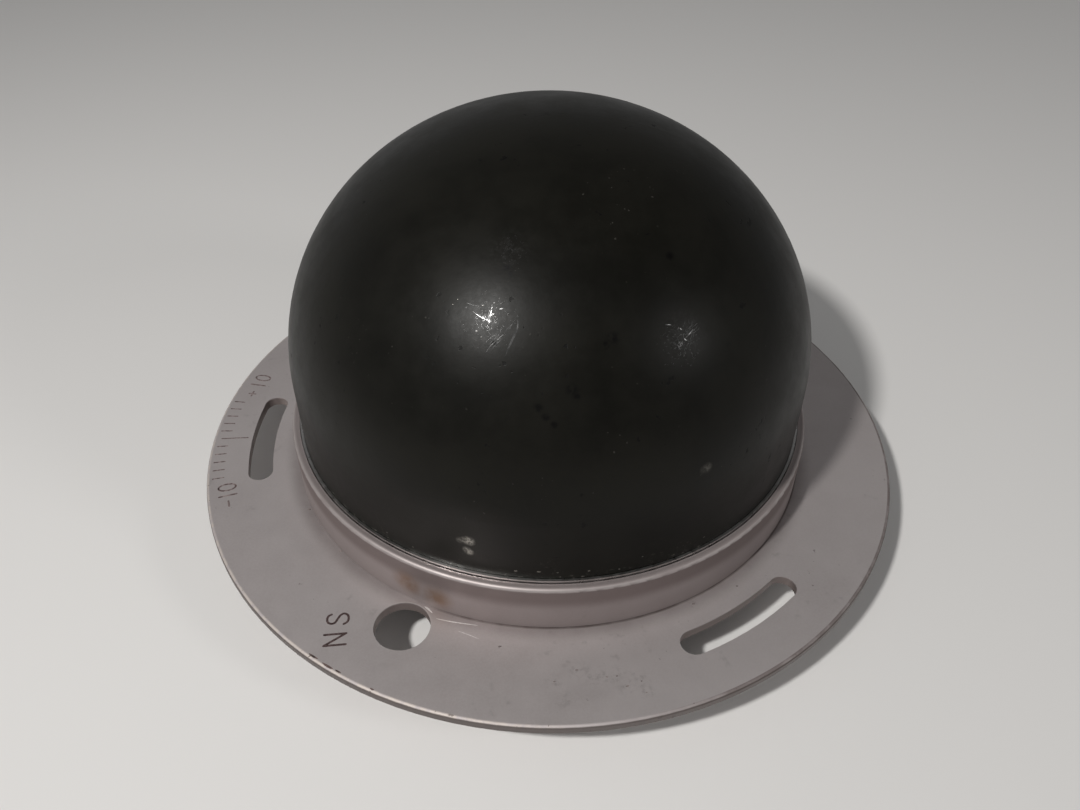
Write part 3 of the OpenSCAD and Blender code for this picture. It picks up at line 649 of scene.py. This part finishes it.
def collar_tones(m, camera, base, wall, side):
    """Colour with painted shade on the collar's wall, deepest under its lip, its brown film, and painted
    shade round its foot and along its corner.
    """
    radius = m.radius()
    height = m.height()
    # Painted shade round the collar's foot
    foot = m.times(m.band(radius, COLLAR_R - FOOT_BAND, COLLAR_R, FOOT_REACH),
                   m.spread(height, more(FLANGE_TOP, FOOT_RISE), (1, 0)),
                   m.cloud(6, (0.45, 0.65)))
    base = m.mix(foot, base, FOOT_SHADE)
    # Painted shade on the collar's wall, and deeper under its lip
    base = m.mix(m.times(wall, 0.7), base, WALL_SHADE)
    under_lip_shade = m.times(side, m.spread(height, less(COLLAR_TOP, UNDER_LIP_DROP)))
    base = m.mix(m.times(under_lip_shade, 0.75), base, UNDER_LIP_SHADE)
    film = m.times(marks(m, camera, "mounting_flange", COLLAR_FILM, FILM_CORE),
                   m.patches(2.2, (0.28, 0.6), (0.35, 0.8), detail=4))
    base = m.mix(film, base, FILM_BROWN)
    # Painted shade along the corner, from the access hole round to the right
    to_corner = m.plus(m.off(radius, COLLAR_R), m.off(height, FLANGE_TOP))
    corner = m.times(m.spread(to_corner, CORNER_REACH, (1, 0)), m.spread(m.along("X"), CORNER_X),
                     m.patches(4, (0.3, 0.6), (0.5, 0.8)))
    return m.mix(corner, base, CORNER_SHADE)


def cut_walls(m, base):
    """Colour with painted shade on the walls of the slots and holes."""
    cut_shade = m.times(m.upright(), m.spread(m.radius(), less(FLANGE_R, CUT_INSET)),
                  m.spread(m.height(), less(FLANGE_TOP, CUT_DROP)))
    return m.mix(m.times(cut_shade, 0.9), base, CUT_SHADE)


def polish_and_highlight_edges(m, on_lip, lip_up):
    """Mask of the worn rounding of the lip, with its painted highlight, and of the worn edge of the access
    hole.
    """
    lip = m.times(on_lip, m.band(lip_up, *POLISHED_UP, POLISHED_SOFT),
                  m.patches(5, (0.3, 0.55), (0.05, 0.35)))
    hole = m.times(m.band(m.radius(*HOLE_AT), *more(HOLE_R, HOLE_EDGE), HOLE_EDGE_SOFT),
                   m.spread(m.height(), less(FLANGE_TOP, HOLE_DROP)))
    return m.most(lip, m.times(hole, 0.5))


def rim_tones(m, base, rim):
    """Colour with the rim's top corner, worn and with a painted highlight on the left and painted shade on
    the right, painted shade on its outer edge, and its nicks.
    """
    radius = m.radius()
    # Worn, with a painted highlight, on the left
    worn = m.times(rim, m.spread(m.along("X"), RIM_HIGHLIGHT_X), m.patches(1.6, (0.4, 0.55)))
    base = m.mix(m.times(worn, 0.6), base, RIM_WORN_HIGHLIGHT)
    # Painted shade on the right
    right_shade = m.times(rim, m.spread(m.along("X"), RIM_SHADE_X), m.patches(3, (0.3, 0.6), (0.5, 0.8)))
    base = m.mix(right_shade, base, RIM_SHADE)
    # Painted shade on the outer edge
    edge = m.times(m.spread(radius, less(FLANGE_R, EDGE_INSET)),
                   m.spread(m.height(), less(FLANGE_TOP, EDGE_DROP)))
    base = m.mix(m.times(edge, 0.85), base, RIM_EDGE_SHADE)
    nicks = m.times(m.spread(radius, less(FLANGE_R, NICK_INSET)), m.patches(0.8, (0.68, 0.72), detail=2))
    return m.mix(m.times(nicks, 0.6), base, NICK_BROWN)


def flange_metal(camera):
    m = Finish("flange_metal")
    radius = m.radius()
    height = m.height()
    # The mesh of the lip is uneven, so its masks and its normal come from its true rounding
    lip_out, lip_up = m.rounding(LIP_FLAT_R, LIP_CENTRE_Z)
    on_lip = m.times(m.spread(radius, less(LIP_FLAT_R, LIP_INSET)),
                     m.spread(height, less(LIP_CENTRE_Z, LIP_DROP)))
    wall = m.times(m.spread(radius, more(COLLAR_R, WALL_REACH)),
                   m.spread(height, more(FLANGE_TOP, WALL_RISE)))
    side = m.times(wall, m.spread(lip_up, SIDE_UP))
    rim = m.times(m.spread(radius, less(FLANGE_R, RIM_INSET)),
                  m.spread(height, less(FLANGE_TOP, RIM_DROP)))
    polish_and_highlight = polish_and_highlight_edges(m, on_lip, lip_up)
    base = flange_face(m, camera)
    base = collar_tones(m, camera, base, wall, side)
    base = cut_walls(m, base)
    # Worn polish, and a painted highlight on the lip's rounding
    base = m.mix(polish_and_highlight, base, METAL_POLISH_HIGHLIGHT)
    base = rim_tones(m, base, rim)
    # The lip is duller on the right
    roughness = m.plus(m.cloud(3, (0.43, 0.48), detail=4), m.times(polish_and_highlight, -0.03),
                       m.times(on_lip, m.spread(m.along("X"), LIP_DULL_X, (0.05, 0.16))),
                       m.times(rim, 0.2), m.times(side, 0.14))
    m.set(base=base, metallic=0.6, roughness=roughness, specular=0.3,
          normal=m.bump(m.noise(0.3, detail=2), 0.003, m.turned(lip_out, lip_up, on_lip)))
    return m.data


def bowl_dirt(m, camera, base, pits):
    """Colour with dull pits, dark stains and pale dust."""
    stains = m.times(marks(m, camera, "bowl", BOWL_STAINS, STAIN_CORE),
                     m.patches(0.9, (0.38, 0.55), detail=4))
    base = m.mix(m.most(pits, stains), base, PAINT_STAIN)
    dust = m.times(m.patches(0.55, (0.74, 0.78), detail=1), m.patches(10, (0.52, 0.66), detail=2))
    return m.mix(m.times(dust, 0.3), base, PAINT_DUST)


def bowl_wear_and_sheen(m, camera, base):
    """Colour with mottled painted sheen at the highlights, dust that has settled at the foot, paint worn
    through, and painted glints.
    """
    # Painted sheen, mottled, at the highlights
    for u, v, reach, strength in BOWL_SHEEN:
        sheen = mark(m, camera, "bowl", (u, v), SHEEN_CORE, reach)
        sheen = m.times(sheen, m.patches(0.7, (0.45, 0.63), detail=4, rough=0.7), strength)
        base = m.mix(sheen, base, PAINT_SHEEN)
    settled = m.times(m.spread(m.height(), more(CLAMP_TOP, DUST_RISE), (1, 0)),
                      m.patches(0.5, (0.58, 0.7), rough=0.7), m.patches(5, (0.4, 0.62), detail=2))
    base = m.mix(m.times(settled, 0.22), base, FOOT_DUST)
    # Worn in dashes along the ring, and painted glints in small soft spots
    worn = m.times(m.spread(m.height(), more(CLAMP_TOP, DASH_RISE), (1, 0)),
                   m.patches(0.9, (0.62, 0.68), stretch=(1, 1, 2.6)), 0.3)
    for u, v, reach, strength in BOWL_GLINTS:
        glint = mark(m, camera, "bowl", (u, v), GLINT_CORE, reach)
        worn = m.most(worn, m.times(glint, m.patches(0.45, (0.38, 0.56), (0.3, 1)), strength))
    return m.mix(worn, base, PAINT_WORN_AND_GLINT)


def bowl_paint(camera):
    m = Finish("bowl_paint")
    pits = m.times(m.patches(1.7, (0.66, 0.7)), m.patches(13, (0.5, 0.58), detail=2))
    base = m.mix(m.cloud(12, detail=5, rough=0.6), PAINT_DARK, PAINT_LIGHT)
    base = bowl_dirt(m, camera, base, pits)
    base = bowl_wear_and_sheen(m, camera, base)
    roughness = m.plus(m.cloud(6, (0.36, 0.44), detail=5, rough=0.65), m.times(pits, 0.12))
    peel = m.bump(m.noise(1.1, detail=2), 0.01)
    m.set(base=base, roughness=roughness, specular=0.136, normal=m.bump(pits, -0.012, peel))
    return m.data


def turned_metal(name, low, high, roughness):
    """Metal with faint rings from the lathe and a little dulling."""
    m = Finish(name)
    rings = m.add("ShaderNodeTexNoise", noise_dimensions="1D")
    m.links.new(m.radius(), rings.inputs["W"])
    rings.inputs["Scale"].default_value = 1 / LATHE_RING
    rings.inputs["Detail"].default_value = 1
    m.set(base=m.mix(m.cloud(5, detail=4), low, high), metallic=1.0,
          roughness=m.cloud(1.5, (roughness - 0.06, roughness + 0.08)),
          normal=m.bump(rings.outputs["Fac"], 0.004))
    return m.data


def grained(name, low, high, roughness, size, depth):
    """Rubber, fibre or moulded plastic with a fine grain."""
    m = Finish(name)
    grain = m.noise(size, detail=4, rough=0.6)
    m.set(base=m.mix(m.spread(grain, NOISE_RANGE), low, high), specular=0.4,
          roughness=m.cloud(4 * size, (roughness - 0.07, roughness + 0.07)),
          normal=m.bump(grain, depth))
    return m.data


def glass_bead():
    m = Finish("seal_glass")
    cloud = m.cloud(1.2)
    m.set(base=m.mix(cloud, (0.16, 0.3, 0.4), (0.3, 0.46, 0.56)),
          roughness=m.spread(cloud, (0, 1), (0.08, 0.16)), specular=0.6)
    return m.data


def wound_wire():
    """Enamelled copper wire in close turns."""
    m = Finish("coil_wire")
    turns = m.add("ShaderNodeTexWave", wave_type="BANDS", bands_direction="DIAGONAL")
    m.links.new(m.place, turns.inputs["Vector"])
    turns.inputs["Scale"].default_value = 1.2
    turns.inputs["Distortion"].default_value = 0.4
    cloud = m.cloud(3)
    m.set(base=m.mix(cloud, (0.36, 0.12, 0.05), (0.5, 0.2, 0.09)), metallic=0.6,
          roughness=m.spread(cloud, (0, 1), (0.28, 0.4)), normal=m.bump(turns.outputs["Fac"], 0.05))
    return m.data


def marking_ink(name, worn, full):
    """Paint in an engraving, or grime, thin in places."""
    m = Finish(name)
    share = m.patches(0.7, (0.36, 0.62))
    m.set(base=m.mix(share, worn, full), specular=0.2, roughness=m.spread(share, (0, 1), (0.6, 0.8)))
    return m.data


def bare_metal(name, low, high):
    """Scratched metal that shows through a finish."""
    m = Finish(name)
    share = m.patches(0.5, (0.35, 0.65))
    m.set(base=m.mix(share, low, high), metallic=0.6, roughness=m.spread(share, (0, 1), (0.45, 0.3)))
    return m.data


def finish_piece(name, bm, material):
    bmesh.ops.recalc_face_normals(bm, faces=bm.faces)
    mesh = bpy.data.meshes.new(name)
    bm.to_mesh(mesh)
    bm.free()
    mesh.materials.append(material)
    piece = bpy.data.objects.new(name, mesh)
    bpy.context.scene.collection.objects.link(piece)
    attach(piece, "housing")


def strip_stations(path, half, pointed):
    """Point, normal, direction and half width at places along a strip; round ends have more of them."""
    last = len(path) - 1
    stations = []
    for i, (point, normal) in enumerate(path):
        ahead = (path[min(i + 1, last)][0] - path[max(i - 1, 0)][0]).normalized()
        wide = half
        if pointed:
            wide *= TIP_SHARE + (1 - TIP_SHARE) * math.sin(math.pi * i / last)
        stations.append((point, normal, ahead, wide))
    if pointed:
        return stations
    angles = [math.radians(a) for a in CAP_ANGLES]
    caps = [(half * math.sin(a), half * math.cos(a)) for a in angles]
    point, normal, ahead, _ = stations[0]
    start = [(point - ahead * reach, normal, ahead, wide) for reach, wide in reversed(caps)]
    point, normal, ahead, _ = stations[-1]
    end = [(point + ahead * reach, normal, ahead, wide) for reach, wide in caps]
    return start + stations + end


def skin(bm, rings):
    """Faces between each ring of vertices and the next."""
    for ring, above in zip(rings, rings[1:]):
        for i in range(len(ring)):
            k = (i + 1) % len(ring)
            bm.faces.new((ring[i], ring[k], above[k], above[i]))


def ribbon(bm, path, width, lift, pointed=False):
    """Closed flat strip along path, a list of (point, normal); its ends are round, or pointed."""
    rings = []
    for point, normal, ahead, wide in strip_stations(path, width / 2, pointed):
        side = normal.cross(ahead).normalized() * wide
        above = point + normal * lift
        below = point - normal * SINK
        corners = (above + side, above - side, below - side, below + side)
        rings.append([bm.verts.new(corner * MM) for corner in corners])
    skin(bm, rings)
    bm.faces.new(rings[0])
    bm.faces.new(reversed(rings[-1]))


def smooth_line(points):
    """Catmull-Rom curve through 2-D points."""
    ends = [points[0], *points, points[-1]]
    line = []
    for a, b, c, d in zip(ends, ends[1:], ends[2:], ends[3:]):
        for k in range(CURVE_STEPS):
            t = k / CURVE_STEPS
            shares = (
                -t + 2 * t ** 2 - t ** 3,
                2 - 5 * t ** 2 + 3 * t ** 3,
                t + 4 * t ** 2 - 3 * t ** 3,
                t ** 3 - t ** 2,
            )
            point = [sum(w * q for w, q in zip(shares, along)) / 2 for along in zip(a, b, c, d)]
            line.append(tuple(point))
    line.append(points[-1])
    return line


# Strokes of the engraved characters, one unit tall and centred
OVAL = [(0.27 * math.sin(a), 0.5 * math.cos(a)) for a in (math.radians(d) for d in range(0, 361, 15))]
GLYPHS = {
    "N": [[(-0.3, -0.5), (-0.3, 0.5)], [(-0.3, 0.5), (0.3, -0.5)], [(0.3, -0.5), (0.3, 0.5)]],
    "S": [smooth_line([
        (0.27, 0.32), (0.17, 0.46), (0, 0.5), (-0.18, 0.44), (-0.26, 0.28), (-0.19, 0.11), (0, 0.01),
        (0.2, -0.1), (0.29, -0.27), (0.2, -0.44), (0.01, -0.5), (-0.18, -0.46), (-0.3, -0.3),
    ])],
    "1": [[(0, -0.5), (0, 0.5)]],
    "0": [OVAL],
    "+": [[(-0.22, 0), (0.22, 0)], [(0, -0.22), (0, 0.22)]],
    "-": [[(-0.22, 0), (0.22, 0)]],
}


def engrave(bm, glyph, radius, angle, tall, width, turn=0.0):
    """Draws a character on the flange at a polar place, its top outward, turned by turn degrees."""
    out = math.radians(angle)
    top = math.radians(angle + turn)
    centre = Vector((radius * math.cos(out), radius * math.sin(out), FLANGE_TOP))
    up = Vector((math.cos(top), math.sin(top), 0))
    right = Vector((math.sin(top), -math.cos(top), 0))
    for k, stroke in enumerate(GLYPHS[glyph]):
        path = [(centre + (right * x + up * y) * tall, UP) for x, y in stroke]
        ribbon(bm, path, width, ENGRAVING_LIFT + STROKE_STEP * k)


def make_scale(ink):
    bm = bmesh.new()
    for angle in range(-SCALE_END, SCALE_END + 1, SCALE_STEP):
        a = math.radians(SCALE_ANGLE + angle)
        radii = TICK_LINE if angle else ZERO_LINE
        ends = [Vector((r * math.cos(a), r * math.sin(a), FLANGE_TOP)) for r in radii]
        ribbon(bm, [(end, UP) for end in ends], LINE_W, ENGRAVING_LIFT)
    finish_piece("scale_lines", bm, ink)
    bm = bmesh.new()
    for glyph, angle in SCALE_NUMERALS:
        engrave(bm, glyph, NUMERAL_R, SCALE_ANGLE + angle, NUMERAL_H, NUMERAL_W)
    finish_piece("scale_numerals", bm, ink)


def make_letters(ink):
    bm = bmesh.new()
    for glyph, radius, angle in POLE_LETTERS:
        engrave(bm, glyph, radius, angle, LETTER_H, LETTER_W, LETTER_TURN)
    finish_piece("pole_letters", bm, ink)


def scratch_lines(name, lines, camera, node, material, lift=SCRATCH_LIFT):
    """Piece with pointed strips on a node, along lines of pixels."""
    bm = bmesh.new()
    for pixels, width in lines:
        hits = [on_photo(camera, u, v, node) for u, v in smooth_line(pixels)]
        ribbon(bm, [(p / MM, n) for p, n in hits], width, lift, pointed=True)
    finish_piece(name, bm, material)


def scuff_lines(rng):
    """Lines of the fields of fine scratches, most of them near the middle of their field."""
    lines = []
    for u, v, reach, count, lengths, direction, scatter, width in SCUFFS:
        for _ in range(count):
            away = reach * rng.random()
            bearing = rng.uniform(0, 2 * math.pi)
            x = u + away * math.cos(bearing)
            y = v + away * math.sin(bearing)
            turn = math.radians(rng.gauss(direction, scatter))
            half = rng.uniform(*lengths) / 2
            dx = half * math.cos(turn)
            dy = -half * math.sin(turn)
            bow = rng.uniform(*SCUFF_BOW)
            pixels = [(x - dx, y - dy), (x + bow * dy, y - bow * dx), (x + dx, y + dy)]
            lines.append((pixels, width * rng.uniform(*SCUFF_WIDTHS)))
    return lines


def surface_axes(normal):
    """Two directions in a surface: level and up, or X and Y where the surface is level."""
    level = UP.cross(normal)
    level = level.normalized() if level.length > LEVEL_SINE else Vector((1, 0, 0))
    return level, normal.cross(level).normalized()


def chip(bm, centre, normal, length, rng):
    """Closed low mound with an uneven outline."""
    along, across = surface_axes(normal)
    wobble = [(k, CHIP_UNEVEN * rng.random() / k, rng.random() * 2 * math.pi) for k in CHIP_WAVES]
    outline = []
    for i in range(CHIP_SIDES):
        a = 2 * math.pi * i / CHIP_SIDES
        r = length / 2 * (1 + sum(depth * math.sin(k * a + phase) for k, depth, phase in wobble))
        outline.append(along * (r * math.cos(a)) + across * (r * CHIP_NARROW * math.sin(a)))
    rings = []
    for j in range(CHIP_RINGS):
        share = 1 - j / CHIP_RINGS
        rise = normal * (CHIP_H * math.sqrt(1 - share * share))
        rings.append([bm.verts.new((centre + side * share + rise) * MM) for side in outline])
    foot = [bm.verts.new(v.co - normal * (SINK * MM)) for v in rings[0]]
    top = bm.verts.new((centre + normal * CHIP_H) * MM)
    skin(bm, [foot, *rings])
    for i in range(CHIP_SIDES):
        bm.faces.new((rings[-1][i], rings[-1][(i + 1) % CHIP_SIDES], top))
    bm.faces.new(reversed(foot))


def chips(name, places, camera, node, material, rng):
    """Piece with small chips on a node, each given by a pixel and a length."""
    bm = bmesh.new()
    for u, v, length in places:
        point, normal = on_photo(camera, u, v, node)
        chip(bm, point / MM, normal, length, rng)
    finish_piece(name, bm, material)


def make_finishes(camera):
    """Materials by the slot of the record that they belong to."""
    finishes = {
        "flange_metal": flange_metal(camera),
        "bowl_paint": bowl_paint(camera),
        "seal_glass": glass_bead(),
        "coil_wire": wound_wire(),
    }
    for name, look in TURNED_METALS.items():
        finishes[name] = turned_metal(name, *look)
    for name, look in GRAINED_STUFFS.items():
        finishes[name] = grained(name, *look)
    return finishes


def make_scratches_and_glint(camera, rng):
    scuffed = bare_metal("scuffed_paint", (0.1, 0.1, 0.1), (0.28, 0.28, 0.28))
    faint = bare_metal("faint_scuffs", (0.025, 0.025, 0.025), (0.07, 0.07, 0.07))
    rubbed = bare_metal("rubbed_paint", (0.003, 0.003, 0.003), (0.014, 0.014, 0.014))
    # Bright metal for the flange's scratches and for the painted glint beside the access hole
    bright = bare_metal("bright_scratch", (0.62, 0.6, 0.59), (0.8, 0.78, 0.77))
    grime = marking_ink("grime", (0.16, 0.115, 0.105), (0.05, 0.036, 0.033))
    fine_lines = FAINT_SCRATCHES + scuff_lines(rng)
    scratch_lines("bowl_scratches", BOWL_SCRATCHES, camera, "bowl", scuffed)
    scratch_lines("bowl_scuffs", fine_lines, camera, "bowl", faint, SCUFF_LIFT)
    scratch_lines("bowl_rubs", RUBBED_STROKES, camera, "bowl", rubbed, RUB_LIFT)
    # Scratches on the flange, and a painted glint beside the access hole
    scratch_lines("flange_scratches", FLANGE_SCRATCHES_AND_GLINT, camera, "mounting_flange", bright)
    scratch_lines("rim_nicks", RIM_NICKS, camera, "mounting_flange", grime)


def make_chips(camera, rng):
    chipped = bare_metal("chipped_paint", (0.07, 0.065, 0.06), (0.19, 0.18, 0.16))
    speck = marking_ink("speck", (0.24, 0.21, 0.2), (0.12, 0.1, 0.096))
    chips("bowl_chips", BOWL_CHIPS, camera, "bowl", chipped, rng)
    chips("flange_specks", FLANGE_SPECKS, camera, "mounting_flange", speck, rng)


camera = make_camera()
make_world()
for lamp in LAMPS:
    make_lamp(**lamp)
make_floor()

finishes = make_finishes(camera)
for name, node in NODES.items():
    node.data.materials.clear()
    node.data.materials.append(finishes[SLOT_OF[name]])

make_scale(marking_ink("scale_ink", (0.26, 0.215, 0.21), (0.09, 0.062, 0.06)))
make_letters(marking_ink("letter_ink", (0.1, 0.07, 0.068), (0.04, 0.024, 0.023)))
rng = random.Random(SEED)
make_scratches_and_glint(camera, rng)
make_chips(camera, rng)

bpy.context.scene.view_settings.view_transform = "Standard"
